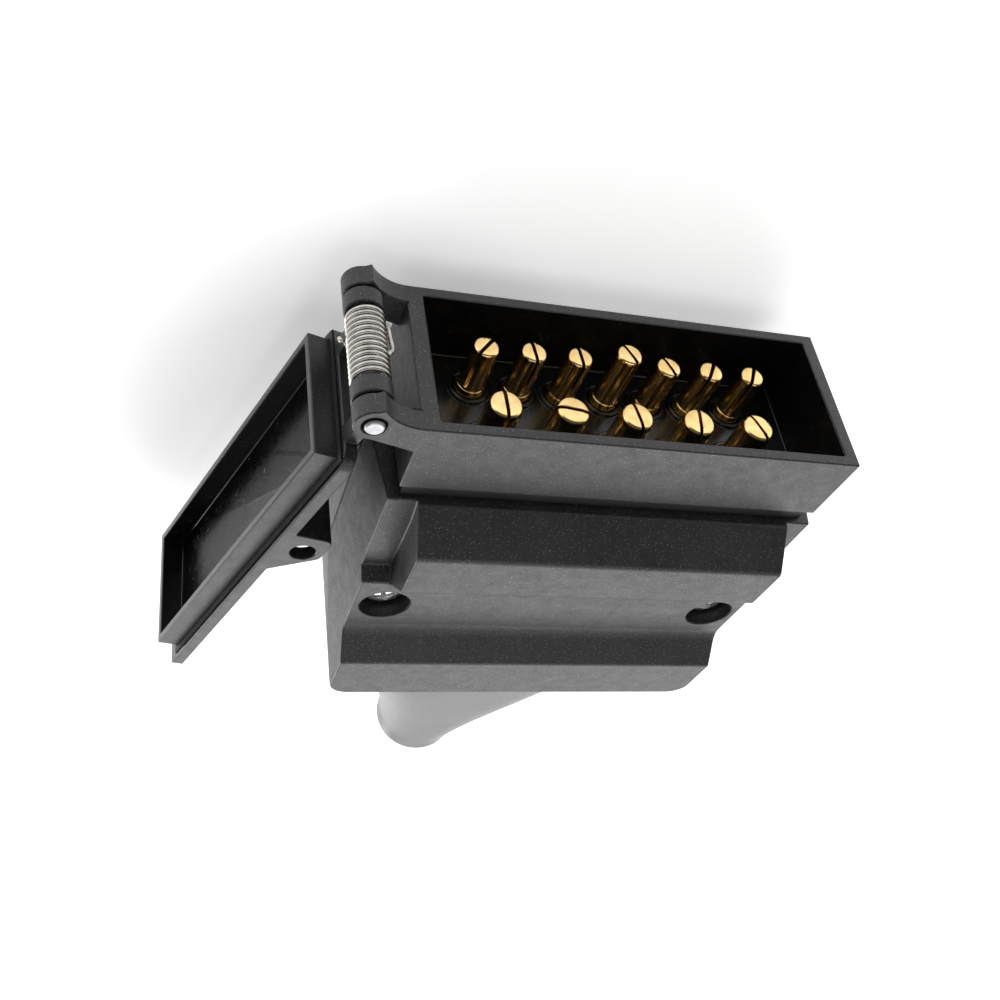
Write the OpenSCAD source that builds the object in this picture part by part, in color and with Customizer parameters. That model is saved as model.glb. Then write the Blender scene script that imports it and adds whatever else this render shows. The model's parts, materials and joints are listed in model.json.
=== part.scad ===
// Flat twelve-pin trailer plug with a sprung hinged lid.
// Frame: origin at the centre of the mating opening, in the plane of the rim.
// -Y is the mating side, +Y the cable side, +Z the screw side, +X the hinge side.

/* [Front shroud] */
// Outer width of the rim along X
shroud_w = 74; // [66:1:92]
// Outer height of the rim along Z
shroud_h = 28; // [26:0.5:34]
// Depth of the outer rim from its front plane to the gasket
shroud_depth = 14.4; // [13.5:0.1:20]
// Rim wall on the hinge side
wall_hinge = 2.8; // [2:0.1:4]
// Rim wall on the free side
wall_free = 2.3; // [1.6:0.1:4]
// Rim wall on the two broad sides
wall_broad = 1.8; // [1.2:0.1:2.4]
// Thickness of the floor that the contacts stand through
floor_t = 2; // [1.5:0.1:3]
// Step in from the rim to the neck that enters the housing
neck_step = 1.6; // [1.2:0.1:2.2]

/* [Contacts] */
// Distance between neighbouring small contacts
small_pitch = 8; // [7.4:0.1:9.5]
// Diameter of a small contact
small_d = 4.5; // [3.6:0.1:4.8]
// Distance between neighbouring large contacts
large_pitch = 11.1; // [10:0.1:13.5]
// Diameter of a large contact
large_d = 5.7; // [4.8:0.1:6]
// Distance of the small row below the middle plane
small_row = 5.5; // [5:0.1:6]
// Distance of the large row above the middle plane
large_row = 5.3; // [5:0.1:6]
// Depth of the contact tips behind the rim plane
tip_depth = 2.3; // [1.5:0.1:5]
// How far the centre small contact leads the others
lead = 1.9; // [0:0.1:2]
// Width of the slot that splits a contact
slot_w = 0.55; // [0.5:0.05:1]

/* [Rear housing] */
// Width of the black gasket line between rim and housing
gasket_gap = 2.9; // [2:0.1:4]
// How far each side of the housing stands out past the rim
housing_flare = 1; // [0.5:0.1:3]
// How much wider each side is at the parting plane
side_draft = 2; // [0.5:0.1:3]
// Step up from the rim's broad side to the housing's ledges
ledge_step = 0.3; // [0.3:0.1:2]
// Rise from the ledges to the valley that holds the screws
valley_rise = 2.8; // [2:0.1:4]
// Rise from the valley to the two grip ridges
ridge_rise = 4.9; // [3.5:0.1:6]
// Distance from the housing front to the front ridge
ridge_y = 5.3; // [4:0.1:7]
// Length of the flat top of the front grip
block_top = 10.2; // [6:0.1:11]
// Distance from the housing front to the start of the valley
valley_y = 21; // [19:0.5:24]
// Length of the valley up to the second ramp
valley_len = 16; // [14.5:0.5:22]
// Length of the second ramp
ramp_len = 4.9; // [4.5:0.1:6]
// Length of the last grip plane
tail_len = 12.9; // [12:0.1:18]
// Wall of the housing shells
shell_wall = 2.2; // [1.6:0.1:2.4]
// Distance of each housing screw from the housing's side
screw_inset = 5.9; // [5.8:0.1:7]
// Radius of the screw counterbores
counterbore_r = 4.4; // [4:0.1:4.6]

/* [Cable boot] */
// Length of the boot behind the housing
boot_len = 73.4; // [50:0.2:90]
// How far in from the housing's side the boot leaves it
boot_inset_x = 7; // [7:0.5:18]
// How far in from the grip ridges the boot leaves the housing
boot_inset_z = 6; // [6:0.5:9]
// Outer radius of the boot at its mouth
boot_tip_r = 9.8; // [8.5:0.1:11]
// How far the boot's mouth sits below the middle plane
boot_drop = 3.6; // [0:0.2:5]
// Radius of the cable bore
cable_r = 5.5; // [3.5:0.1:6.5]

/* [Lid and hinge] */
// Opening angle of the lid as drawn, from closed
lid_open = 254; // [0:1:262]
// Distance from the rim's side to the hinge axis
hinge_out = 6.9; // [6.4:0.1:9]
// Distance of the hinge axis behind the rim plane
hinge_y = 0.2; // [0:0.1:1]
// Outer radius of the hinge knuckles
knuckle_r = 3.1; // [2.8:0.1:3.4]
// Height of each fixed knuckle
knuckle_h = 3.6; // [2.4:0.1:4.4]
// Height of each lid knuckle
lid_knuckle_h = 3; // [2.4:0.1:3.6]
// Radius of the hinge pin
hinge_pin_r = 1.3; // [1:0.05:1.5]
// Thickness of the lid plate
lid_plate_t = 2.2; // [1.6:0.1:3]
// Depth of the lid's tray
lid_tray_depth = 3.9; // [2.5:0.1:6]
// Wall of the lid's tray
lid_wall = 1.3; // [1:0.1:2]
// Diameter of the spring wire
wire_d = 0.76; // [0.6:0.02:0.9]
// Number of spring turns
spring_turns = 13; // [9:1:14]

/* [Hidden] */
$fn = 48;
SMALL_COUNT = 7;
LARGE_COUNT = 5;

// small steps used only to make cuts run clean through a face
CUT = 1;
// clearance between pieces that are pushed together once
FIT = 0.1;
// clearance of a turning hinge fit
HINGE_FIT = 0.06;
// gap between faces that slide past each other
SLIDE_GAP = 0.5;

rim_x_hinge = shroud_w / 2 - wall_hinge;
rim_x_free = shroud_w / 2 - wall_free;
rim_z = shroud_h / 2 - wall_broad;
floor_y = shroud_depth - 1.4;
floor_back = floor_y + floor_t;
neck_half_w = shroud_w / 2 - neck_step;
neck_half_h = shroud_h / 2 - neck_step;
neck_wall = 1.9;
carrier_half_w = neck_half_w - neck_wall - FIT;
carrier_half_h = neck_half_h - neck_wall - FIT;
carrier_len = 13;
carrier_back = floor_back + carrier_len;
carrier_screw_r = 1.1;
carrier_post_r = 2.2;
carrier_post_len = 4;
carrier_screw_x = carrier_half_w - carrier_post_r - 1;

// steps out from a contact's shaft to its collar, flange and shank
collar_rise = 0.4;
flange_rise = 1.1;
shank_rise = 0.4;
flange_t = 1.2;
barrel_len = 9;
collar_proud = 1.7;
collar_cone = 1.3;
// length of a contact's eased tip, as a share of its radius
tip_ease = 0.5;
boss_wall = 0.75;
boss_proud = 0.6;
terminal_screw_r = 1.25;
// turn of each contact's slot about its own axis
small_slots = [113, 117, 67, 64, 85, 84, 130];
large_slots = [68, 98, 82, 8, 90];

housing_y = shroud_depth + gasket_gap;
housing_half_w = shroud_w / 2 + housing_flare;
ledge_z = shroud_h / 2 + ledge_step;
valley_z = ledge_z + valley_rise;
ridge_z = valley_z + ridge_rise;
neck_back = housing_y + 6.5;
rib_y = housing_y + shell_wall + FIT;
rib_t = 2;
rib_rise = 1.2;
rib_half_w = 28;
valley_start = housing_y + valley_y;
ramp_start = valley_start + valley_len;
ramp_end = ramp_start + ramp_len;
housing_end = ramp_end + tail_len;
ledge_ramp = 1.4;
corner_r = 4;
tail_in = 2.2;
block_front_w = housing_half_w - 4.7;
block_tail_w = housing_half_w - 5.1;
block_back = housing_y + ridge_y + block_top;
cavity_w = housing_half_w - 9.9;
block_front_z = ledge_z + 0.9;
screw_x = housing_half_w - screw_inset;
screw_y = valley_start + 7.8;
screw_head_r = 3.2;
screw_head_h = 2.4;
screw_recess = 1.9;
screw_r = 1.7;
insert_r = 2.7;
insert_len = 7;
screw_head_top = valley_z - screw_recess;
screw_seat = screw_head_top - screw_head_h;
screw_end = -insert_len + 0.5;
boss_r = counterbore_r + 1.3;
parting_groove = 0.4;

boot_root_w = housing_half_w - boot_inset_x;
boot_root_h = ridge_z - boot_inset_z;
boot_end = housing_end + boot_len;
boot_flange_t = 2.4;
boot_flange_out = 1.6;
rear_wall_y = housing_end - shell_wall;
clamp_y = rear_wall_y - 10;
clamp_w = 7;
clamp_half_l = cable_r + 7.5;
clamp_screw_x = clamp_half_l - 3;
clamp_screw_r = 1.25;
clamp_screw_end = -9;
clamp_z = cable_r + 2.2;
// distance of each clamp face from the cable's middle plane
saddle_drop = 0.8;

hinge_x = shroud_w / 2 + hinge_out;
knuckle_z = shroud_h / 2 - knuckle_h;
lid_knuckle_z = knuckle_z - SLIDE_GAP - lid_knuckle_h;
arm_back = 5.5;
lid_gap = 0.3;
pin_recess = 1.2;
pin_proud = 0.5;
pin_head_rise = 0.2;
lid_face = -hinge_y - lid_gap;
lid_back = lid_face - lid_plate_t;
lid_edge = 0.5;
plate_u0 = hinge_x - shroud_w / 2 + 2.6;
plate_u1 = hinge_x + shroud_w / 2 - lid_edge;
plate_z = shroud_h / 2 - lid_edge;
tray_gap_side = 1.9;
tray_gap_broad = 0.6;
tray_u0 = hinge_x - rim_x_hinge + tray_gap_side;
tray_u1 = hinge_x + rim_x_free - tray_gap_side;
tray_z = rim_z - tray_gap_broad;
seal_w = 0.9;
seal_t = 1.1;
seal_proud = 0.2;
tab_u0 = 30.6;
tab_u1 = 42;
tab_tip_u = 37;
tab_reach = 6.7;
tab_t = 2.4;
tab_hole_r = 2.1;
tab_hole_u = 35.1;
tab_hole_out = 3.2;
tab_web_t = 2.2;

spring_half = lid_knuckle_z - 0.35;
coil_r = knuckle_r - wire_d / 2;
coil_half = spring_half - wire_d / 2;
coil_turn = 360 * spring_turns - 125;
WIRE_SIDES = 6;
TURN_STEPS = 20;

function arc(cx, cy, r, a0, a1, n) =
    [for (i = [0:n]) let (a = a0 + (a1 - a0) * i / n) [cx + r * cos(a), cy + r * sin(a)]];

function mirrored(pts) = concat(pts, [for (i = [len(pts) - 1:-1:0]) [-pts[i][0], pts[i][1]]]);

// extrudes a [y, z] outline along X, centred
module along_x(half_w, pts) {
    translate([-half_w, 0, 0])
        rotate([90, 0, 90])
            linear_extrude(2 * half_w)
                polygon(pts);
}

// a cylinder along +Y that starts at y
module rod_y(x, y, z, r, length) {
    translate([x, y, z])
        rotate([-90, 0, 0])
            cylinder(r = r, h = length);
}

module box_y(half_w, half_h, y0, y1) {
    translate([-half_w, y0, -half_h])
        cube([2 * half_w, y1 - y0, 2 * half_h]);
}

// ---------------------------------------------------------------- contacts

function small_x(i) = (i - (SMALL_COUNT - 1) / 2) * small_pitch;
function large_x(i) = (i - (LARGE_COUNT - 1) / 2) * large_pitch;
function is_lead(i) = i == (SMALL_COUNT - 1) / 2;

// Split contact: chamfered tip, shaft, collar, flange, shank and wire barrel.
module contact(x, z, r, tip_y, slot_angle) {
    slot_len = floor_y - tip_y - 2.2;
    barrel_end = carrier_back + barrel_len;
    wire_r = 0.66 * (r + shank_rise);
    screw_at = carrier_back + barrel_len / 2;
    translate([x, 0, z])
        difference() {
            rotate([-90, 0, 0])
                rotate_extrude()
                    polygon([
                        [0, tip_y],
                        [0.5 * r, tip_y],
                        [0.84 * r, tip_y + 0.08 * r],
                        [0.94 * r, tip_y + 0.2 * r],
                        [r, tip_y + tip_ease * r],
                        [r, floor_y - collar_proud],
                        [r + 0.1, floor_y - collar_proud],
                        [r + collar_rise, floor_y - collar_proud + collar_cone],
                        [r + collar_rise, floor_back],
                        [r + flange_rise, floor_back],
                        [r + flange_rise, floor_back + flange_t],
                        [r + shank_rise, floor_back + flange_t],
                        [r + shank_rise, barrel_end],
                        [0, barrel_end]
                    ]);
            rotate([0, slot_angle, 0])
                translate([-r - CUT, tip_y - CUT, -slot_w / 2])
                    cube([2 * (r + CUT), slot_len + CUT, slot_w]);
            rod_y(0, barrel_end - 7.5, 0, wire_r, 7.5 + CUT);
            translate([0, screw_at, 0])
                rotate([z > 0 ? 0 : 180, 0, 0])
                    cylinder(r = terminal_screw_r + 0.05, h = 2 * r);
        }
}

module small_pin(i) {
    color([0.86, 0.68, 0.30])
        contact(small_x(i), -small_row, small_d / 2,
            tip_depth - (is_lead(i) ? lead : 0), small_slots[i]);
}

module large_pin(i) {
    color([0.86, 0.68, 0.30])
        contact(large_x(i), large_row, large_d / 2, tip_depth + 0.4, large_slots[i]);
}

// Slotted grub screw that presses a wire into a barrel.
module terminal_screw(x, z, r) {
    top = r + shank_rise + 0.7;
    bottom = 0.66 * (r + shank_rise) - 0.6;
    translate([x, carrier_back + barrel_len / 2, z])
        rotate([z > 0 ? 0 : 180, 0, 0])
            difference() {
                translate([0, 0, bottom])
                    cylinder(r = terminal_screw_r, h = top - bottom);
                translate([-terminal_screw_r - CUT, -0.25, top - 0.7])
                    cube([2 * (terminal_screw_r + CUT), 0.5, 0.7 + CUT]);
            }
}

module small_terminal_screws() {
    color([0.75, 0.75, 0.77])
        for (i = [0:SMALL_COUNT - 1])
            terminal_screw(small_x(i), -small_row, small_d / 2);
}

module large_terminal_screws() {
    color([0.75, 0.75, 0.77])
        for (i = [0:LARGE_COUNT - 1])
            terminal_screw(large_x(i), large_row, large_d / 2);
}

// ------------------------------------------------------------ front shroud

// Plan of one hinge arm: knuckle disc, web and a hollow front fillet.
module arm_plan() {
    fillet_r = 8;
    fillet_x = sqrt(pow(knuckle_r + fillet_r, 2) - pow(hinge_y + fillet_r, 2));
    difference() {
        union() {
            translate([hinge_x, hinge_y])
                circle(r = knuckle_r);
            polygon([
                [shroud_w / 2 - 1, 0],
                [hinge_x - fillet_x, 0],
                [hinge_x - fillet_x, hinge_y - fillet_r],
                [hinge_x, hinge_y - knuckle_r + 0.01],
                [hinge_x, hinge_y + knuckle_r - 0.01],
                [shroud_w / 2, arm_back],
                [shroud_w / 2 - 1, arm_back]
            ]);
        }
        translate([hinge_x - fillet_x, -fillet_r])
            circle(r = fillet_r);
    }
}

module hinge_arms() {
    for (side = [-1, 1])
        translate([0, 0, side > 0 ? knuckle_z : -shroud_h / 2])
            linear_extrude(knuckle_h)
                arm_plan();
}

module contact_bosses() {
    for (i = [0:SMALL_COUNT - 1])
        rod_y(small_x(i), floor_y - boss_proud, -small_row,
            small_d / 2 + collar_rise + FIT + boss_wall, boss_proud + CUT);
    for (i = [0:LARGE_COUNT - 1])
        rod_y(large_x(i), floor_y - boss_proud, large_row,
            large_d / 2 + collar_rise + FIT + boss_wall, boss_proud + CUT);
}

module contact_holes(rise, y0, length) {
    for (i = [0:SMALL_COUNT - 1])
        rod_y(small_x(i), y0, -small_row, small_d / 2 + rise, length);
    for (i = [0:LARGE_COUNT - 1])
        rod_y(large_x(i), y0, large_row, large_d / 2 + rise, length);
}

module front_shroud() {
    color([0.10, 0.10, 0.11])
        difference() {
            union() {
                difference() {
                    union() {
                        box_y(shroud_w / 2, shroud_h / 2, 0, shroud_depth);
                        box_y(neck_half_w, neck_half_h, shroud_depth - CUT, neck_back);
                        box_y(rib_half_w, neck_half_h + rib_rise, rib_y, rib_y + rib_t);
                        hinge_arms();
                    }
                    translate([-rim_x_free, -CUT, -rim_z])
                        cube([rim_x_free + rim_x_hinge, floor_y + CUT, 2 * rim_z]);
                    box_y(neck_half_w - neck_wall, neck_half_h - neck_wall,
                        floor_back, neck_back + CUT);
                }
                contact_bosses();
                for (side = [-1, 1])
                    rod_y(side * carrier_screw_x, floor_back - CUT, 0, carrier_post_r,
                        carrier_post_len + CUT);
            }
            contact_holes(collar_rise + FIT, floor_y - boss_proud - CUT, floor_t + boss_proud + 2 * CUT);
            for (side = [-1, 1])
                rod_y(side * carrier_screw_x, floor_back - 0.5, 0, carrier_screw_r + 0.02,
                    carrier_post_len + 0.5 + CUT);
            translate([hinge_x, hinge_y, -shroud_h / 2 - CUT])
                cylinder(r = hinge_pin_r + 0.02, h = shroud_h + 2 * CUT);
            translate([hinge_x, hinge_y, shroud_h / 2 - pin_recess])
                cylinder(r = hinge_pin_r + pin_head_rise + 0.35, h = pin_recess + CUT);
        }
}

// Insulating block behind the floor that holds every contact.
module contact_carrier() {
    color([0.07, 0.07, 0.08])
        difference() {
            box_y(carrier_half_w, carrier_half_h, floor_back, carrier_back);
            contact_holes(flange_rise + FIT, floor_back - CUT, flange_t + CUT);
            contact_holes(shank_rise + 0.05, floor_back, carrier_len + CUT);
            for (side = [-1, 1]) {
                rod_y(side * carrier_screw_x, floor_back - CUT, 0, carrier_post_r + FIT,
                    carrier_post_len + FIT + CUT);
                rod_y(side * carrier_screw_x, floor_back, 0, carrier_screw_r + 0.2,
                    carrier_len + CUT);
            }
        }
}

module carrier_screws() {
    head_r = 2;
    head_h = 1.6;
    color([0.72, 0.72, 0.74])
        for (side = [-1, 1])
            difference() {
                union() {
                    rod_y(side * carrier_screw_x, floor_back - 0.3, 0, carrier_screw_r,
                        carrier_len + 0.3 + 0.2);
                    rod_y(side * carrier_screw_x, carrier_back, 0, head_r, head_h);
                }
                translate([side * carrier_screw_x, carrier_back + head_h, 0])
                    cross_recess(head_r);
            }
}

// Cross-shaped driver recess, cut downwards along Y.
module cross_recess(head_r) {
    bar = 0.32 * head_r;
    depth = 0.45 * head_r;
    for (turn = [0, 90])
        rotate([0, turn, 0])
            translate([-0.62 * head_r, -depth, -bar / 2])
                cube([1.24 * head_r, depth + CUT, bar]);
}

// Rubber ring in the gap between rim and housing.
module housing_gasket() {
    inset = 0.9;
    color([0.03, 0.03, 0.03])
        difference() {
            box_y(shroud_w / 2 - inset, shroud_h / 2 - inset, shroud_depth, housing_y);
            box_y(neck_half_w, neck_half_h, shroud_depth - CUT, housing_y + CUT);
        }
}

// ------------------------------------------------------------ rear housing

// Plan of the housing at the parting plane, one side of it.
function plan_points(grow) = let (w = housing_half_w + side_draft + grow)
    mirrored(concat(
        [[w, housing_y]],
        [[w, ramp_start - 2]],
        arc(w - tail_in - corner_r, housing_end - corner_r, corner_r, 0, 90, 6)
    ));

// Broad-face profile with ledge, valley, hollow fillet and tail.
function profile_points() = let (
        slope = atan2(ridge_z - valley_z, ramp_len),
        fillet_r = 4,
        reach = fillet_r * tan(slope / 2)
    )
    concat(
        [[housing_y, 0], [housing_y, ledge_z], [valley_start - ledge_ramp, ledge_z],
         [valley_start, valley_z]],
        arc(ramp_start - reach, valley_z + fillet_r, fillet_r, -90, -90 + slope, 6),
        [[ramp_end, ridge_z], [housing_end, ridge_z], [housing_end, 0]]
    );

// Front grip block between the two ledges.
module grip_block() {
    intersection() {
        along_x(housing_half_w, [
            [housing_y, 0],
            [housing_y, block_front_z],
            [housing_y + ridge_y - 0.3, ridge_z - 0.3],
            [housing_y + ridge_y + 0.4, ridge_z],
            [block_back - 0.3, ridge_z],
            [block_back + 0.3, ridge_z - 0.3],
            [valley_start + 0.6, valley_z],
            [valley_start + 0.6, 0]
        ]);
        linear_extrude(ridge_z + CUT)
            polygon(mirrored([
                [block_front_w, housing_y],
                [block_tail_w, housing_y + ridge_y],
                [block_tail_w, valley_start + 1.8]
            ]));
    }
}

// Half of the housing as a full body, above the parting plane.
module shell_body() {
    intersection() {
        along_x(housing_half_w + side_draft, profile_points());
        linear_extrude(ridge_z + CUT)
            polygon(plan_points(0));
        translate([0, housing_end + CUT, 0])
            rotate([90, 0, 0])
                linear_extrude(housing_end)
                    polygon(mirrored([
                        [housing_half_w + side_draft - parting_groove, 0],
                        [housing_half_w + side_draft, parting_groove],
                        [housing_half_w, ledge_z],
                        [housing_half_w - 0.4, ridge_z]
                    ]));
    }
    grip_block();
}

// Room for the carrier, the wires and the boot's flange.
module shell_cavity() {
    inner_w = housing_half_w - shell_wall;
    front = housing_y + shell_wall;
    low = ledge_z - shell_wall;
    mid = valley_z - shell_wall;
    high = ridge_z - shell_wall;
    translate([0, 0, -CUT]) {
        linear_extrude(low + CUT)
            polygon(mirrored([
                [inner_w, front],
                [inner_w, ramp_start],
                [inner_w - tail_in, rear_wall_y]
            ]));
        along_x(cavity_w, [
            [front, 0],
            [front, block_front_z + CUT - shell_wall],
            [front + ridge_y - 1, high + CUT - 1],
            [front + ridge_y, high + CUT - 1],
            [valley_start, mid + CUT],
            [ramp_start, mid + CUT],
            [ramp_end + 0.6, high + CUT],
            [rear_wall_y, high + CUT],
            [rear_wall_y, 0]
        ]);
    }
}

// Rounded rectangle across Y, as the boot's root needs.
module boot_section(half_w, half_h, y0, length) {
    translate([0, y0, 0])
        rotate([-90, 0, 0])
            linear_extrude(length)
                boot_outline(half_w, half_h);
}

// Rectangle with fully round ends.
module boot_outline(half_w, half_h) {
    straight = max(0.01, half_w - half_h);
    square([2 * straight, 2 * half_h], center = true);
    for (side = [-1, 1])
        translate([side * straight, 0])
            circle(r = half_h);
}

// Room in both shells for the shroud's neck, with a groove for its rib.
module neck_socket() {
    box_y(neck_half_w + FIT, neck_half_h + FIT, housing_y - CUT, neck_back + FIT);
    box_y(rib_half_w + FIT, neck_half_h + rib_rise + FIT, rib_y - FIT, rib_y + rib_t + FIT);
}

module upper_shell() {
    color([0.13, 0.13, 0.14])
        difference() {
            union() {
                difference() {
                    shell_body();
                    shell_cavity();
                }
                intersection() {
                    for (side = [-1, 1])
                        translate([side * screw_x, screw_y, 0])
                            cylinder(r = boss_r, h = valley_z - 1);
                    shell_body();
                }
            }
            neck_socket();
            boot_section(boot_root_w + FIT, boot_root_h + FIT, rear_wall_y - CUT, shell_wall + 2 * CUT);
            for (side = [-1, 1])
                translate([side * screw_x, screw_y, 0]) {
                    translate([0, 0, screw_seat])
                        cylinder(r = counterbore_r, h = ridge_z);
                    translate([0, 0, -CUT])
                        cylinder(r = screw_r + 0.2, h = screw_seat + 2 * CUT);
                }
        }
}

module lower_shell() {
    color([0.13, 0.13, 0.14])
        difference() {
            union() {
                mirror([0, 0, 1])
                    difference() {
                        shell_body();
                        shell_cavity();
                    }
                intersection() {
                    union() {
                        for (side = [-1, 1])
                            translate([side * screw_x, screw_y, -valley_z + 1])
                                cylinder(r = boss_r, h = valley_z - 1);
                        translate([-clamp_half_l, clamp_y - clamp_w / 2, -ridge_z + 1])
                            cube([2 * clamp_half_l, clamp_w, ridge_z - 1 - saddle_drop]);
                    }
                    mirror([0, 0, 1])
                        shell_body();
                }
            }
            neck_socket();
            boot_section(boot_root_w + FIT, boot_root_h + FIT, rear_wall_y - CUT, shell_wall + 2 * CUT);
            for (side = [-1, 1]) {
                translate([side * screw_x, screw_y, -insert_len - 1])
                    cylinder(r = insert_r + 0.02, h = insert_len + 1 + CUT);
                translate([side * clamp_screw_x, clamp_y, clamp_screw_end - CUT])
                    cylinder(r = clamp_screw_r + 0.02, h = ridge_z);
            }
            rod_y(0, clamp_y - clamp_w, 0, cable_r, 2 * clamp_w);
        }
}

// Pan head screw along -Z with a domed, cross-recessed head.
module housing_screws() {
    dome = 0.7;
    dome_r = (pow(screw_head_r, 2) + pow(dome, 2)) / (2 * dome);
    color([0.80, 0.80, 0.82])
        for (side = [-1, 1])
            translate([side * screw_x, screw_y, 0])
                difference() {
                    union() {
                        intersection() {
                            translate([0, 0, screw_seat])
                                cylinder(r = screw_head_r, h = screw_head_h);
                            translate([0, 0, screw_head_top - dome_r])
                                sphere(r = dome_r, $fn = 96);
                        }
                        translate([0, 0, screw_end])
                            cylinder(r = screw_r, h = screw_seat - screw_end + 0.2);
                    }
                    for (turn = [20, 110])
                        translate([0, 0, screw_head_top - 1.5])
                            rotate([0, 0, turn])
                                translate([-0.62 * screw_head_r, -0.45, 0])
                                    cube([1.24 * screw_head_r, 0.9, 1.5 + CUT]);
                }
}

// Knurled brass bushes in the lower shell.
module screw_inserts() {
    color([0.80, 0.62, 0.28])
        for (side = [-1, 1])
            translate([side * screw_x, screw_y, -insert_len])
                difference() {
                    cylinder(r = insert_r, h = insert_len);
                    translate([0, 0, -CUT])
                        cylinder(r = screw_r + 0.03, h = insert_len + 2 * CUT);
                    for (z = [2, 4.6])
                        translate([0, 0, z])
                            difference() {
                                cylinder(r = insert_r + CUT, h = 0.5);
                                translate([0, 0, -CUT])
                                    cylinder(r = insert_r - 0.3, h = 0.5 + 2 * CUT);
                            }
                }
}

// ------------------------------------------------------- cable boot, clamp

// Outer sections of the boot behind the wall: [share of length, half width, half height].
function boot_sections() = [
    [0, boot_root_w, boot_root_h],
    [0.36, boot_root_w * 0.82, boot_root_h * 0.88],
    [0.68, boot_tip_r + (boot_root_w - boot_tip_r) * 0.3, boot_tip_r + (boot_root_h - boot_tip_r) * 0.25],
    [1, boot_tip_r, boot_tip_r]
];

module boot_skin(y0, length) {
    sections = boot_sections();
    for (i = [0:len(sections) - 2])
        hull()
            for (k = [i, i + 1])
                translate([0, 0, -boot_drop * sections[k][0]])
                    boot_section(sections[k][1], sections[k][2],
                        y0 + length * sections[k][0] - 0.01, 0.02, $fn = 32);
}

// Soft funnel that guides the cable out of the housing.
module cable_boot() {
    wall = 2.4;
    lip = 2.6;
    color([0.42, 0.42, 0.43])
        difference() {
            union() {
                boot_section(boot_root_w + boot_flange_out, boot_root_h + boot_flange_out,
                    rear_wall_y - boot_flange_t, boot_flange_t);
                boot_section(boot_root_w, boot_root_h, rear_wall_y - 0.01, shell_wall + 0.02);
                boot_skin(housing_end, boot_len - lip);
                boot_lip(boot_end - lip, lip);
            }
            boot_section(boot_root_w - wall, boot_root_h - wall,
                rear_wall_y - boot_flange_t - CUT, boot_flange_t + CUT + 0.02);
            boot_inner(rear_wall_y, wall);
            rod_y(0, rear_wall_y, -boot_drop, cable_r, boot_len + 20);
        }
}

// Round mouth of the boot with an eased outer edge.
module boot_lip(y, length) {
    translate([0, y, -boot_drop])
        rotate([-90, 0, 0])
            rotate_extrude()
                polygon(concat(
                    [[0, -0.02], [boot_tip_r, -0.02]],
                    arc(boot_tip_r - length, 0, length, 0, 75, 6),
                    [[0, length]]
                ));
}

// Hollow of the boot, from the flange to the start of the plain bore.
module boot_inner(y0, wall) {
    length = 0.6 * boot_len;
    hull() {
        boot_section(boot_root_w - wall, boot_root_h - wall, y0, 0.02, $fn = 32);
        translate([0, 0, -boot_drop])
            boot_section(cable_r + 0.6, cable_r, y0 + length, 0.02, $fn = 32);
    }
}

// Saddle bar that grips the cable jacket against the lower shell.
module cable_clamp() {
    color([0.12, 0.12, 0.13])
        difference() {
            translate([-clamp_half_l, clamp_y - clamp_w / 2, saddle_drop])
                cube([2 * clamp_half_l, clamp_w, clamp_z - saddle_drop]);
            rod_y(0, clamp_y - clamp_w, 0, cable_r, 2 * clamp_w);
            for (side = [-1, 1])
                translate([side * clamp_screw_x, clamp_y, -20])
                    cylinder(r = clamp_screw_r + 0.15, h = 40);
        }
}

module clamp_screws() {
    head_r = 2.3;
    head_h = 1.7;
    color([0.72, 0.72, 0.74])
        for (side = [-1, 1])
            translate([side * clamp_screw_x, clamp_y, 0])
                difference() {
                    union() {
                        translate([0, 0, clamp_z])
                            cylinder(r = head_r, h = head_h);
                        translate([0, 0, clamp_screw_end])
                            cylinder(r = clamp_screw_r, h = clamp_z - clamp_screw_end + 0.2);
                    }
                    translate([0, 0, clamp_z + head_h])
                        rotate([90, 0, 0])
                            cross_recess(head_r);
                }
}

// --------------------------------------------------------------- lid, hinge

// Places what is drawn closed, about the hinge axis, at the opening angle.
module on_hinge() {
    translate([hinge_x, hinge_y, 0])
        rotate([0, 0, lid_open])
            children();
}

// Box of the closed lid: u runs from the hinge to the free side, v outwards is negative.
module lid_box(u0, u1, v0, v1, z0, z1) {
    translate([-u1, v0, z0])
        cube([u1 - u0, v1 - v0, z1 - z0]);
}

// Plate outline with rounded hinge corners.
module lid_plate() {
    r = 3;
    translate([0, lid_face, 0])
        rotate([90, 0, 0])
            linear_extrude(lid_plate_t)
                polygon(concat(
                    [[-plate_u1, -plate_z]],
                    arc(-plate_u0 - r, -plate_z + r, r, -90, 0, 6),
                    arc(-plate_u0 - r, plate_z - r, r, 0, 90, 6),
                    [[-plate_u1, plate_z]]
                ));
}

// Outline of the pierced tab on the plate's back.
module tab_plan() {
    r = 1.4;
    out = lid_back - tab_reach;
    polygon(concat(
        [[-tab_u0, lid_back + 0.5]],
        [[-tab_u1, lid_back + 0.5]],
        [[-tab_u1, lid_back]],
        arc(-tab_tip_u + r, out + r, r, 220, 270, 4),
        arc(-tab_u0 - r, out + r, r, 270, 360, 6)
    ));
}

// Pierced tab at the screw-side edge, and the web that runs from it across the lid's back.
module lid_tab() {
    translate([0, 0, plate_z - tab_t])
        linear_extrude(tab_t)
            difference() {
                tab_plan();
                translate([-tab_hole_u, lid_back - tab_hole_out])
                    circle(r = tab_hole_r);
            }
    translate([0, 0, -plate_z])
        linear_extrude(2 * plate_z)
            intersection() {
                tab_plan();
                translate([-tab_u0 - tab_web_t, lid_back - tab_reach])
                    square([tab_web_t, tab_reach + 0.4]);
            }
}

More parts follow.
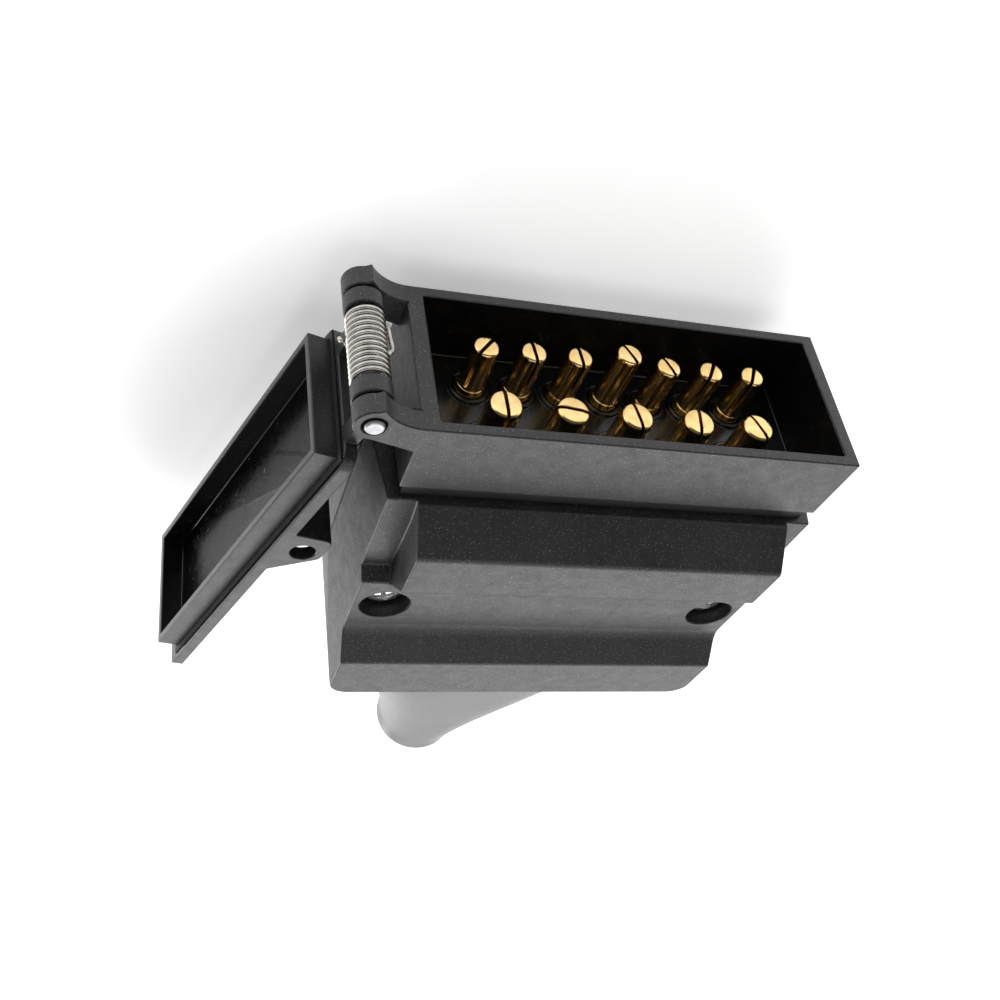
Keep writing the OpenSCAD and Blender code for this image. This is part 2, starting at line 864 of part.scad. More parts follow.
module lid_arms() {
    for (side = [-1, 1])
        translate([0, 0, side > 0 ? lid_knuckle_z : -lid_knuckle_z - lid_knuckle_h])
            linear_extrude(lid_knuckle_h)
                union() {
                    circle(r = knuckle_r);
                    polygon([
                        [0, -knuckle_r + 0.01],
                        [-plate_u0 - 1, lid_back],
                        [-plate_u0 - 1, lid_face],
                        [-hinge_out + SLIDE_GAP, lid_face],
                        [-knuckle_r * 0.9, 0.2],
                        [0, knuckle_r * 0.5]
                    ]);
                }
}

module lid() {
    color([0.11, 0.11, 0.12])
        on_hinge()
            difference() {
                union() {
                    lid_plate();
                    lid_box(tray_u0, tray_u1, lid_face - 0.5, lid_face + lid_tray_depth, -tray_z, tray_z);
                    lid_arms();
                    lid_tab();
                }
                lid_box(tray_u0 + lid_wall, tray_u1 - lid_wall, lid_face, lid_face + lid_tray_depth + CUT,
                    -tray_z + lid_wall, tray_z - lid_wall);
                seal_groove();
                translate([0, 0, -shroud_h])
                    cylinder(r = hinge_pin_r + HINGE_FIT, h = 2 * shroud_h);
            }
}

// Ring of rectangular section round the tray's root.
module ring_round_tray(inner, outer, v0, v1) {
    difference() {
        lid_box(tray_u0 - outer, tray_u1 + outer, v0, v1, -tray_z - outer, tray_z + outer);
        lid_box(tray_u0 - inner, tray_u1 + inner, v0 - CUT, v1 + CUT, -tray_z - inner, tray_z + inner);
    }
}

module seal_groove() {
    ring_round_tray(0.1, 0.2 + seal_w, lid_face - seal_t + seal_proud, lid_face + CUT);
}

module lid_seal() {
    color([0.04, 0.04, 0.04])
        on_hinge()
            ring_round_tray(0.15, 0.15 + seal_w, lid_face - seal_t + seal_proud, lid_face + seal_proud);
}

// Plain pin with a domed, swaged head in the screw-side knuckle.
module hinge_pin() {
    head_z = shroud_h / 2 - pin_recess;
    head_r = hinge_pin_r + pin_head_rise;
    dome = 0.45;
    color([0.82, 0.82, 0.84])
        translate([hinge_x, hinge_y, 0])
            rotate_extrude()
                polygon(concat(
                    [[0, -shroud_h / 2 - pin_proud], [hinge_pin_r - 0.3, -shroud_h / 2 - pin_proud]],
                    [[hinge_pin_r, -shroud_h / 2 - pin_proud + 0.3], [hinge_pin_r, head_z]],
                    [[head_r, head_z]],
                    arc(head_r - dome, shroud_h / 2 + pin_proud - dome, dome, 0, 75, 4),
                    [[0, shroud_h / 2 + pin_proud]]
                ));
}

// Wire path: each item holds a point and the outward direction there.
function out_dir(a) = [cos(a), sin(a), 0];
function wire_item(a, out, z) = [(coil_r + out * wire_d) * out_dir(a) + [0, 0, z], out_dir(a)];

// Leg that rests on the shroud's side and ends in a hook, listed tip first.
function shroud_leg() = [
    for (k = [[200, 0.15, 7.6], [197, 0.5, 7.2], [190, 1.15, 6.4], [186, 1.3, 5.5], [184, 1.2, 4.4],
              [182, 1.1, 3], [178, 1.1, 1.6], [174, 0.95, 0.75], [171, 0.6, 0.25], [172, 0.2, 0.03]])
        wire_item(k[0], k[1], k[2] - coil_half)
];

// Leg that runs up behind the coil and hooks over the lid's side.
function lid_leg(a) = [
    for (k = [[8, 0.25, 0.05], [14, 0.7, 0.3], [17, 1.05, 0.9], [17, 1.1, 2.4], [14, 1.1, 5], [9, 1.15, 8.2],
              [3, 1.35, 9.3], [-10, 1.7, 9.8], [-25, 1.75, 9.5], [-34, 1.5, 8.9], [-39, 1.2, 8.2]])
        wire_item(a + k[0], k[1], coil_half - k[2])
];

function coil_items() = let (steps = round(coil_turn * TURN_STEPS / 360))
    [for (i = [0:steps]) wire_item(180 + coil_turn * i / steps, 0, coil_half * (2 * i / steps - 1))];

function ring(p, t, out) = let (
        b = cross(t, out) / norm(cross(t, out)),
        n = cross(b, t)
    )
    [for (k = [0:WIRE_SIDES - 1]) let (a = 360 * k / WIRE_SIDES)
        p + wire_d / 2 * (cos(a) * n + sin(a) * b)];

// Closed tube along a list of [point, outward direction].
module wire(items) {
    n = len(items);
    tangents = [for (i = [0:n - 1])
        let (d = items[min(i + 1, n - 1)][0] - items[max(i - 1, 0)][0]) d / norm(d)];
    points = [for (i = [0:n - 1]) each ring(items[i][0], tangents[i], items[i][1])];
    sides = [for (i = [0:n - 2], k = [0:WIRE_SIDES - 1])
        let (m = (k + 1) % WIRE_SIDES)
        [i * WIRE_SIDES + k, i * WIRE_SIDES + m, (i + 1) * WIRE_SIDES + m, (i + 1) * WIRE_SIDES + k]];
    first = [for (k = [WIRE_SIDES - 1:-1:0]) k];
    last = [for (k = [0:WIRE_SIDES - 1]) (n - 1) * WIRE_SIDES + k];
    polyhedron(points = points, faces = concat(sides, [first, last]), convexity = 10);
}

module torsion_spring() {
    color([0.78, 0.78, 0.78])
        translate([hinge_x, hinge_y, 0])
            wire(concat(shroud_leg(), coil_items(), lid_leg(180 + coil_turn)));
}

front_shroud();
contact_carrier();
small_pin(0);  // small_pin_1
small_pin(1);  // small_pin_2
small_pin(2);  // small_pin_3
small_pin(3);  // small_pin_4
small_pin(4);  // small_pin_5
small_pin(5);  // small_pin_6
small_pin(6);  // small_pin_7
large_pin(0);  // large_pin_1
large_pin(1);  // large_pin_2
large_pin(2);  // large_pin_3
large_pin(3);  // large_pin_4
large_pin(4);  // large_pin_5
small_terminal_screws();
large_terminal_screws();
carrier_screws();
housing_gasket();
upper_shell();
lower_shell();
housing_screws();
screw_inserts();
cable_boot();
cable_clamp();
clamp_screws();
lid();
lid_seal();
hinge_pin();
torsion_spring();
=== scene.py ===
"""Looks of the flat trailer plug: materials, finer pieces, floor, camera and light around the CAD part."""

import json
import math

import bmesh
import bpy
from mathutils import Matrix, Vector


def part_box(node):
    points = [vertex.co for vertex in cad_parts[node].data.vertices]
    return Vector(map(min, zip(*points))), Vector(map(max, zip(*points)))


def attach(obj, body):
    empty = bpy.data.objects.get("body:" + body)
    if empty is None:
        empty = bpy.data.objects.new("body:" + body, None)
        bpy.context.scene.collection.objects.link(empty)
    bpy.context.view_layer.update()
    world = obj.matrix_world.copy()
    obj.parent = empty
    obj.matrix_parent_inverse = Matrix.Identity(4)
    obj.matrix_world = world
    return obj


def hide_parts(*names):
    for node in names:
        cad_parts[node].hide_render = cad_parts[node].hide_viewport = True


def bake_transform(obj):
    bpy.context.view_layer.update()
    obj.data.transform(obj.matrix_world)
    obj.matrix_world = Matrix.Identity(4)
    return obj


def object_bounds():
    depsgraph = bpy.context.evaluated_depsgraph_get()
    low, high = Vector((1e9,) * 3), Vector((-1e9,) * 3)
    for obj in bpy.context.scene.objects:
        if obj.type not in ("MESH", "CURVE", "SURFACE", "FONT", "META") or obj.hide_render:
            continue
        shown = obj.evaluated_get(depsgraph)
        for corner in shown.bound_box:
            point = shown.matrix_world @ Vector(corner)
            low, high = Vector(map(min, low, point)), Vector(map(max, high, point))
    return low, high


MM = 0.001
PLUG = "plug"
LID = "lid"

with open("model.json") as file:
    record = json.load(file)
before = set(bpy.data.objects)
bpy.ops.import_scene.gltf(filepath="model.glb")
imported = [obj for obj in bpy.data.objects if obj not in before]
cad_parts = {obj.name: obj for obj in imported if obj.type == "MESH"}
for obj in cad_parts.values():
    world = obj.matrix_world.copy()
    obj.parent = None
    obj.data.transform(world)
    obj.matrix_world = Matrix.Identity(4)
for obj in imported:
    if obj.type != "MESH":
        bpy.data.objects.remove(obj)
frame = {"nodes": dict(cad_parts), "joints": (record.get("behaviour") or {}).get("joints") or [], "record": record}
nodes = frame["nodes"]
cad_low, cad_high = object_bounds()
collection = bpy.context.scene.collection
for cad in nodes.values():
    cad.data.materials.clear()
for imported in list(bpy.data.materials):
    bpy.data.materials.remove(imported)

# ------------------------------------------------------------------ material nodes


def new_material(name):
    """A material with an emptied node tree, its shader and a wiring helper."""
    material = bpy.data.materials.new(name)
    material.use_nodes = True
    tree = material.node_tree
    shader = tree.nodes["Principled BSDF"]
    return material, tree, shader


def add(tree, kind, **values):
    """Adds a node. Values named after inputs set them, and the rest set the node's own properties."""
    node = tree.nodes.new(kind)
    for key, value in values.items():
        if key in node.inputs:
            node.inputs[key].default_value = value
        else:
            setattr(node, key, value)
    return node


def object_point(tree):
    return add(tree, "ShaderNodeTexCoord").outputs["Object"]


def noise(tree, point, size_mm, detail=3.0, rough=0.55):
    """Noise whose features are about size_mm across."""
    node = add(tree, "ShaderNodeTexNoise", Scale=1 / (size_mm * MM), Detail=detail, Roughness=rough)
    tree.links.new(point, node.inputs["Vector"])
    return node.outputs["Fac"]


def ramp(tree, value, low, high, out_low, out_high):
    """Maps value from low..high to out_low..out_high, held at the ends."""
    node = add(tree, "ShaderNodeMapRange")
    tree.links.new(value, node.inputs["Value"])
    for socket, number in zip(("From Min", "From Max", "To Min", "To Max"), (low, high, out_low, out_high)):
        node.inputs[socket].default_value = number
    return node.outputs["Result"]


def maths(tree, operation, a, b):
    node = add(tree, "ShaderNodeMath", operation=operation)
    for socket, value in zip(node.inputs, (a, b)):
        if isinstance(value, (int, float)):
            socket.default_value = value
        else:
            tree.links.new(value, socket)
    return node.outputs[0]


def mix_colour(tree, fac, dark, light):
    node = add(tree, "ShaderNodeMix", data_type="RGBA")
    tree.links.new(fac, node.inputs["Factor"])
    for socket, value in ((node.inputs[6], dark), (node.inputs[7], light)):
        if isinstance(value, tuple):
            socket.default_value = (*value, 1)
        else:
            tree.links.new(value, socket)
    return node.outputs[2]


def shaded(colour, factor):
    """The colour made lighter or darker, at most white."""
    return tuple(min(1, c * factor) for c in colour)


def bump(tree, shader, layers):
    """Chains bumps, each (height, depth in mm), into the shader's normal."""
    last = None
    for height, depth_mm in layers:
        node = add(tree, "ShaderNodeBump", Strength=1.0, Distance=depth_mm * MM)
        tree.links.new(height, node.inputs["Height"])
        if last:
            tree.links.new(last, node.inputs["Normal"])
        last = node.outputs["Normal"]
    tree.links.new(last, shader.inputs["Normal"])


def sparkles(tree, point, cell_mm, share, radius):
    """Small dots, about one cell in share, each radius of a cell across."""
    cells = add(tree, "ShaderNodeTexVoronoi", Scale=1 / (cell_mm * MM))
    tree.links.new(point, cells.inputs["Vector"])
    pick = add(tree, "ShaderNodeSeparateColor")
    tree.links.new(cells.outputs["Color"], pick.inputs[0])
    chosen = maths(tree, "LESS_THAN", pick.outputs[0], share)
    dot = ramp(tree, cells.outputs["Distance"], radius * 0.5, radius, 1.0, 0.0)
    return maths(tree, "MULTIPLY", chosen, dot)


INNER = "inner"  # face attribute: 1 on inner faces, which are polished and painted near black as shade
# near black painted on the inner faces as the shade in the recesses
PAINTED_SHADE_BLACK = (0.004, 0.004, 0.0045)
GLINT_SPECK_COLOUR = (0.22, 0.22, 0.225)
POLISHED = 0.2
GRAIN_TURN = (0.4, 0.7, 0.3)  # radians, so that no flat face lies along the noise's own grid
CLOUD_MM = 9.0
SMEAR_MM = 2.2
GLINT_SPECK_MM = 0.3
SMEAR_DEPTH = 0.006


def moulded_plastic(name, tone, gloss, grain_mm, grain_depth, glint_speck_share):
    """Black moulded plastic: spark-eroded grain with tops painted lighter as lit, cloudy tone, handling marks,
    fine bright specks painted as glints, and inner faces polished and painted near black as shade.
    """
    material, tree, shader = new_material(name)
    turned = add(tree, "ShaderNodeMapping", Rotation=GRAIN_TURN)
    tree.links.new(object_point(tree), turned.inputs["Vector"])
    point = turned.outputs["Vector"]
    grain = noise(tree, point, grain_mm, 2.0)
    cloud = noise(tree, point, CLOUD_MM, 3.0)
    smear = noise(tree, point, SMEAR_MM, 4.0, 0.65)
    inner = add(tree, "ShaderNodeAttribute", attribute_name=INNER).outputs["Fac"]
    cloudy = ramp(tree, cloud, 0.3, 0.7, 0, 1)
    outer = mix_colour(tree, cloudy, shaded(tone, 0.75), shaded(tone, 1.3))
    # inner faces take the near black colour: painted shade, on top of their real polish
    base = mix_colour(tree, inner, outer, PAINTED_SHADE_BLACK)
    textured = maths(tree, "SUBTRACT", 1.0, inner)
    lit_grain = maths(tree, "MULTIPLY", textured, ramp(tree, grain, 0.52, 0.8, 0, 1))
    grained = mix_colour(tree, lit_grain, base, shaded(tone, 2.6))
    # bright specks painted into the colour as glints of light on the grain; they are also a little glossier
    glint_speck = maths(tree, "MULTIPLY", textured, sparkles(tree, point, GLINT_SPECK_MM, glint_speck_share, 0.3))
    tree.links.new(mix_colour(tree, glint_speck, grained, GLINT_SPECK_COLOUR), shader.inputs["Base Color"])
    dull = ramp(tree, smear, 0.3, 0.75, gloss - 0.05, gloss + 0.1)
    glint = maths(tree, "MULTIPLY", glint_speck, 0.15)
    polish = maths(tree, "ADD", glint, maths(tree, "MULTIPLY", inner, gloss - POLISHED))
    tree.links.new(maths(tree, "SUBTRACT", dull, polish), shader.inputs["Roughness"])
    bump(tree, shader, [(maths(tree, "MULTIPLY", grain, textured), grain_depth), (smear, SMEAR_DEPTH)])
    return material


def turned_metal(name, colour, shade, gloss, ring_mm):
    """Lathe-turned plated metal: fine rings round the piece's own axis along Y, with slight tarnish."""
    material, tree, shader = new_material(name)
    coord = add(tree, "ShaderNodeTexCoord")
    tarnish = noise(tree, coord.outputs["Object"], 1.6, 4.0)
    split = add(tree, "ShaderNodeSeparateXYZ")
    tree.links.new(coord.outputs["Object"], split.inputs[0])
    rings = add(tree, "ShaderNodeMath", operation="SINE")
    along = maths(tree, "MULTIPLY", split.outputs["Y"], 2 * math.pi / (ring_mm * MM))
    tree.links.new(along, rings.inputs[0])
    stained = mix_colour(tree, ramp(tree, tarnish, 0.35, 0.75, 0, 1), colour, shade)
    tree.links.new(stained, shader.inputs["Base Color"])
    shader.inputs["Metallic"].default_value = 1.0
    tree.links.new(ramp(tree, tarnish, 0.3, 0.8, gloss, gloss + 0.12), shader.inputs["Roughness"])
    bump(tree, shader, [(rings.outputs[0], 0.0012), (tarnish, 0.004)])
    return material


def bright_steel(name, colour, gloss, scratch_mm=0.35):
    """Plated or drawn steel with fine scratches and uneven gloss."""
    material, tree, shader = new_material(name)
    point = object_point(tree)
    patch = noise(tree, point, 1.8, 4.0)
    stretch = add(tree, "ShaderNodeMapping")
    stretch.inputs["Scale"].default_value = (1.0, 0.2, 1.0)
    tree.links.new(point, stretch.inputs["Vector"])
    scratch = noise(tree, stretch.outputs[0], scratch_mm, 5.0, 0.7)
    patchy = mix_colour(tree, ramp(tree, patch, 0.35, 0.7, 0, 1), colour, shaded(colour, 0.72))
    tree.links.new(patchy, shader.inputs["Base Color"])
    shader.inputs["Metallic"].default_value = 1.0
    tree.links.new(ramp(tree, scratch, 0.35, 0.7, gloss, gloss + 0.16), shader.inputs["Roughness"])
    bump(tree, shader, [(scratch, 0.004), (patch, 0.006)])
    return material


def soft_rubber(name, tone, gloss, bloom):
    """Smooth flexible rubber with a faint powdery bloom and shallow moulding waves."""
    material, tree, shader = new_material(name)
    point = object_point(tree)
    wave = noise(tree, point, 14.0, 2.0)
    fine = noise(tree, point, 0.5, 4.0, 0.6)
    dusty = mix_colour(tree, ramp(tree, wave, 0.3, 0.7, 0, 1), tone, shaded(tone, bloom))
    pit = sparkles(tree, point, 1.1, 0.05, 0.12)
    tree.links.new(mix_colour(tree, pit, dusty, shaded(tone, 0.55)), shader.inputs["Base Color"])
    tree.links.new(ramp(tree, fine, 0.3, 0.7, gloss, gloss + 0.12), shader.inputs["Roughness"])
    bump(tree, shader, [(wave, 0.08), (fine, 0.006)])
    return material


shroud_plastic = moulded_plastic("shroud_plastic", (0.018, 0.018, 0.0195), 0.40, 0.24, 0.026, 0.20)
housing_plastic = moulded_plastic("housing_plastic", (0.018, 0.018, 0.0185), 0.42, 0.26, 0.030, 0.30)
lid_plastic = moulded_plastic("lid_plastic", (0.015, 0.015, 0.0165), 0.36, 0.24, 0.022, 0.12)
# the carrier's tone is darker than the other mouldings: painted shade of its place deep inside the shroud
carrier_plastic = moulded_plastic("carrier_plastic", (0.005, 0.005, 0.0055), 0.26, 0.3, 0.003, 0.01)
contact_gold = turned_metal("contact_gold", (0.98, 0.74, 0.36), (0.86, 0.56, 0.20), 0.12, 0.22)
insert_brass = turned_metal("insert_brass", (0.78, 0.60, 0.30), (0.55, 0.38, 0.16), 0.25, 0.4)
zinc_steel = bright_steel("zinc_steel", (0.70, 0.70, 0.70), 0.32)
screw_steel = bright_steel("screw_steel", (0.9, 0.9, 0.9), 0.22)
pin_steel = bright_steel("pin_steel", (0.42, 0.42, 0.43), 0.3)
spring_steel = bright_steel("spring_steel", (0.62, 0.60, 0.56), 0.16, 0.2)
seal_rubber = soft_rubber("seal_rubber", (0.012, 0.012, 0.012), 0.55, 1.5)
boot_rubber = soft_rubber("boot_rubber", (0.145, 0.145, 0.147), 0.28, 1.15)

SLOTS = {
    m.name: m
    for m in (
        shroud_plastic, housing_plastic, lid_plastic, carrier_plastic, contact_gold, insert_brass,
        zinc_steel, screw_steel, pin_steel, spring_steel, seal_rubber, boot_rubber,
    )
}
slot_of = {s["node"]: s["material_slot"] for s in frame["record"]["subparts"]}
for node_name, cad in nodes.items():
    cad.data.materials.append(SLOTS[slot_of[node_name]])

# ------------------------------------------------------------------ finer pieces


def place(mesh, name, node_name, body):
    """Makes the mesh a shown piece that stands for a CAD node and rides on its body."""
    piece = bpy.data.objects.new(name, mesh)
    collection.objects.link(piece)
    mesh.materials.clear()
    mesh.materials.append(SLOTS[slot_of[node_name]])
    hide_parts(node_name)
    if body:
        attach(piece, body)
    return piece


WELD = 2e-6
FLAT_ANGLE = math.radians(0.6)
BEVEL_ANGLE = math.radians(24)
SHARP_ANGLE = math.radians(40)


def softened(node_name, name, body, width_mm, is_inner=None):
    """A copy of a CAD node with its sharp edges rounded by width_mm. is_inner picks its polished faces, which the
    plastic also paints near black as shade.
    """
    mesh = nodes[node_name].data.copy()
    work = bmesh.new()
    work.from_mesh(mesh)
    bmesh.ops.remove_doubles(work, verts=work.verts, dist=WELD)
    bmesh.ops.dissolve_limit(work, angle_limit=FLAT_ANGLE, verts=work.verts, edges=work.edges)
    work.to_mesh(mesh)
    work.free()
    scratch = bpy.data.objects.new("scratch", mesh)
    collection.objects.link(scratch)
    bevel = scratch.modifiers.new("bevel", "BEVEL")
    bevel.width = width_mm * MM
    bevel.segments = 2
    bevel.limit_method = "ANGLE"
    bevel.angle_limit = BEVEL_ANGLE
    bevel.use_clamp_overlap = False
    bevel.miter_outer = "MITER_ARC"
    mesh.shade_smooth()
    mesh.set_sharp_from_angle(angle=SHARP_ANGLE)
    weighted = scratch.modifiers.new("weighted", "WEIGHTED_NORMAL")
    weighted.keep_sharp = True
    shown = bpy.data.meshes.new_from_object(scratch.evaluated_get(bpy.context.evaluated_depsgraph_get()))
    bpy.data.objects.remove(scratch)
    if is_inner:
        marks = [float(is_inner(face.center / MM, face.normal)) for face in shown.polygons]
        shown.attributes.new(INNER, "FLOAT", "FACE").data.foreach_set("value", marks)
    return place(shown, name, node_name, body)


MATING_HALF_X = 34.9
MATING_HALF_Z = 12.4
MATING_DEPTH = 14.0
RIM_LIP = 0.2


def in_mating_space(point, normal):
    """Faces of the shroud's mating space: behind the rim plane and turned towards the middle."""
    across = abs(point.x) < MATING_HALF_X and abs(point.z) < MATING_HALF_Z
    faces_in = point.x * normal.x + point.z * normal.z < 0 or normal.y < -0.5
    return across and RIM_LIP < point.y < MATING_DEPTH and faces_in


hinge_at = Vector(frame["joints"][0]["pos_m"])
LID_OPEN = 254
LID_TURN = Matrix.Rotation(math.radians(-LID_OPEN), 3, "Z")
LID_FACE_Y = -0.6
TRAY_MIDDLE = -44.15
TRAY_HALF_X = 31.35
TRAY_HALF_Z = 10.4


def in_lid_tray(point, normal):
    """Faces inside the lid's tray, told in the closed lid's own directions."""
    at = LID_TURN @ (point - hinge_at / MM) - Vector((TRAY_MIDDLE, 0, 0))
    facing = LID_TURN @ normal
    inside = abs(at.x) < TRAY_HALF_X and abs(at.z) < TRAY_HALF_Z and at.y > LID_FACE_Y
    return inside and (at.x * facing.x + at.z * facing.z < -1e-3 or facing.y > 0.9)


softened("front_shroud", "front_shroud_moulding", PLUG, 0.22, in_mating_space)
softened("upper_shell", "upper_shell_moulding", PLUG, 0.3)
softened("lower_shell", "lower_shell_moulding", PLUG, 0.3)
softened("lid", "lid_moulding", LID, 0.2, in_lid_tray)
for contact in sorted(n for n in nodes if n.startswith(("small_pin", "large_pin"))):
    softened(contact, contact + "_turned", PLUG, 0.12)


def skin(rings, name, closed_loop=True):
    """A mesh of quads between rings of points, in metres, each ring of the same length."""
    work = bmesh.new()
    rows = [[work.verts.new(p) for p in ring] for ring in rings]
    pairs = list(zip(rows, rows[1:]))
    if closed_loop:
        pairs.append((rows[-1], rows[0]))
    for row, after in pairs:
        for k in range(len(row)):
            m = (k + 1) % len(row)
            work.faces.new((row[k], row[m], after[m], after[k]))
    bmesh.ops.recalc_face_normals(work, faces=work.faces)
    mesh = bpy.data.meshes.new(name)
    work.to_mesh(mesh)
    work.free()
    mesh.shade_smooth()
    return mesh


# ------------------------------------------------------------------ cable boot

BOOT_TIP_R = 9.8
BOOT_DROP = 3.6
BOOT_BORE_R = 5.5
BOOT_WALL = 2.4
BOOT_LIP = 2.6
BOOT_BORE_LENGTH = 28.0
ARC_STEPS = 20
FLAT_STEPS = 6


def round_ended(half_w, half_h, y, z_mid=0.0):
    """Outline with round ends across Y, all in mm, as points in metres."""
    straight = max(half_w - half_h, 0.25)
    points = []
    for side in (1, -1):
        for k in range(ARC_STEPS + 1):
            a = math.radians(180 * k / ARC_STEPS - 90 * side)
            points.append((side * straight + half_h * math.cos(a), half_h * math.sin(a)))
        for k in range(1, FLAT_STEPS):
            points.append((side * straight * (1 - 2 * k / FLAT_STEPS), side * half_h))
    return [Vector((x, y, z_mid + z)) * MM for x, z in points]


def smooth(t):
    return t * t * (3 - 2 * t)


def boot_mesh():
    """Funnel from the housing's rear opening to the round mouth, with its hollow and plain bore."""
    low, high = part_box("cable_boot")
    housing_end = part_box("upper_shell")[1].y / MM
    tip = high.y / MM
    flange_w, flange_h = high.x / MM, high.z / MM
    root_w, root_h = flange_w - 1.6, flange_h - 1.6
    start = low.y / MM
    rings = []
    for w, h, y in (
        (root_w - BOOT_WALL, root_h - BOOT_WALL, start), (flange_w, flange_h, start),
        (flange_w, flange_h, start + 2.3), (root_w, root_h, start + 2.4), (root_w, root_h, housing_end),
    ):
        rings.append(round_ended(w, h, y))
    steps = 40
    for k in range(1, steps + 1):
        t = k / steps
        narrow = 0.45 * smooth(t) + 0.55 * t
        w = root_w + (BOOT_TIP_R - root_w) * min(1.0, narrow * 1.02)
        h = root_h + (BOOT_TIP_R - root_h) * min(1.0, narrow * 1.02)
        rings.append(round_ended(w, h, housing_end + (tip - BOOT_LIP - housing_end) * t, -BOOT_DROP * t))
    for k in range(1, 9):
        a = math.radians(90 * k / 8)
        r = BOOT_TIP_R - BOOT_LIP + BOOT_LIP * math.cos(a)
        rings.append(round_ended(r, r, tip - BOOT_LIP + BOOT_LIP * math.sin(a), -BOOT_DROP))
    for r, y in (
        (BOOT_BORE_R + 0.5, tip), (BOOT_BORE_R + 0.15, tip - 0.15), (BOOT_BORE_R, tip - 0.5),
        (BOOT_BORE_R, tip - BOOT_BORE_LENGTH),
    ):
        rings.append(round_ended(r, r, y, -BOOT_DROP))
    return skin(rings, "boot")


place(boot_mesh(), "cable_boot_moulding", "cable_boot", PLUG)

# ------------------------------------------------------------------ torsion spring

WIRE_R = 0.38
COIL_R = 2.72
COIL_TURNS = 13 - 125 / 360
WIRE_SIDES = 14
STEPS_PER_TURN = 40
spring_low, spring_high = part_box("torsion_spring")
COIL_HALF = (spring_high.z - spring_low.z) / 2 / MM - WIRE_R

# each leg's points: angle round the axis, distance out in wire diameters, height from the coil's end in mm
SHROUD_LEG = [
    (200, 0.15, 7.6), (197, 0.5, 7.2), (190, 1.15, 6.4), (186, 1.3, 5.5), (184, 1.2, 4.4),
    (182, 1.1, 3.0), (178, 1.1, 1.6), (174, 0.95, 0.75), (171, 0.6, 0.25), (172, 0.2, 0.03),
]
LID_LEG = [
    (8, 0.25, 0.05), (14, 0.7, 0.3), (17, 1.05, 0.9), (17, 1.1, 2.4), (14, 1.1, 5.0), (9, 1.15, 8.2),
    (3, 1.35, 9.3), (-10, 1.7, 9.8), (-25, 1.75, 9.5), (-34, 1.5, 8.9), (-39, 1.2, 8.2),
]


def coil_point(angle, out, z):
    a = math.radians(angle)
    r = COIL_R + out * 2 * WIRE_R
    return hinge_at + Vector((r * math.cos(a), r * math.sin(a), z)) * MM


def rounded_path(points, steps):
    """Catmull-Rom curve through the points."""
    ends = [points[0] * 2 - points[1], *points, points[-1] * 2 - points[-2]]
    path = []
    for p0, p1, p2, p3 in zip(ends, ends[1:], ends[2:], ends[3:]):
        for k in range(steps):
            t = k / steps
            path.append(
                0.5 * (2 * p1 + (p2 - p0) * t + (2 * p0 - 5 * p1 + 4 * p2 - p3) * t * t
                       + (3 * p1 - p0 - 3 * p2 + p3) * t * t * t)
            )
    return [*path, points[-1]]


def spring_mesh():
    """Round wire along both legs and the coil, and each ring's share of the lid's turn."""
    turned = 360 * COIL_TURNS
    lower = rounded_path([coil_point(a, out, z - COIL_HALF) for a, out, z in SHROUD_LEG], 4)
    upper = rounded_path([coil_point(180 + turned + a, out, COIL_HALF - z) for a, out, z in LID_LEG], 4)
    count = int(COIL_TURNS * STEPS_PER_TURN)
    steps = [k / count for k in range(count + 1)]
    coil = [coil_point(180 + turned * t, 0, COIL_HALF * (2 * t - 1)) for t in steps]
    path = [*lower, *coil, *upper]
    share = [0.0] * len(lower) + steps + [1.0] * len(upper)
    rings = []
    for i, point in enumerate(path):
        tangent = (path[min(i + 1, len(path) - 1)] - path[max(i - 1, 0)]).normalized()
        out = Vector((point.x - hinge_at.x, point.y - hinge_at.y, 0)).normalized()
        side = tangent.cross(out).normalized()
        normal = side.cross(tangent)
        taper = 0.8 if i in (0, len(path) - 1) else 1.0
        rings.append([
            point + (normal * math.cos(a) + side * math.sin(a)) * WIRE_R * taper * MM
            for a in (2 * math.pi * k / WIRE_SIDES for k in range(WIRE_SIDES))
        ])
    mesh = skin(rings, "spring", closed_loop=False)
    work = bmesh.new()
    work.from_mesh(mesh)
    work.verts.ensure_lookup_table()
    last = (len(rings) - 1) * WIRE_SIDES
    work.faces.new([work.verts[k] for k in range(WIRE_SIDES)])
    work.faces.new([work.verts[last + k] for k in range(WIRE_SIDES)])
    bmesh.ops.recalc_face_normals(work, faces=work.faces)
    work.to_mesh(mesh)
    work.free()
    return mesh, [w for w in share for _ in range(WIRE_SIDES)]


wire_mesh, turn_share = spring_mesh()
spring = place(wire_mesh, "torsion_spring_wire", "torsion_spring", None)
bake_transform(spring)

# ------------------------------------------------------------------ stage, camera, light

FLOOR_Z = cad_low.z
FLOOR_RADIUS = 2.6
COVE_RADIUS = 0.9
FLOOR_GLOW = 0.5
SHADE_RADIUS = 0.028
SHADE_MIDDLE = (0.045, 0.045)
SHADE_GLOW = 0.28


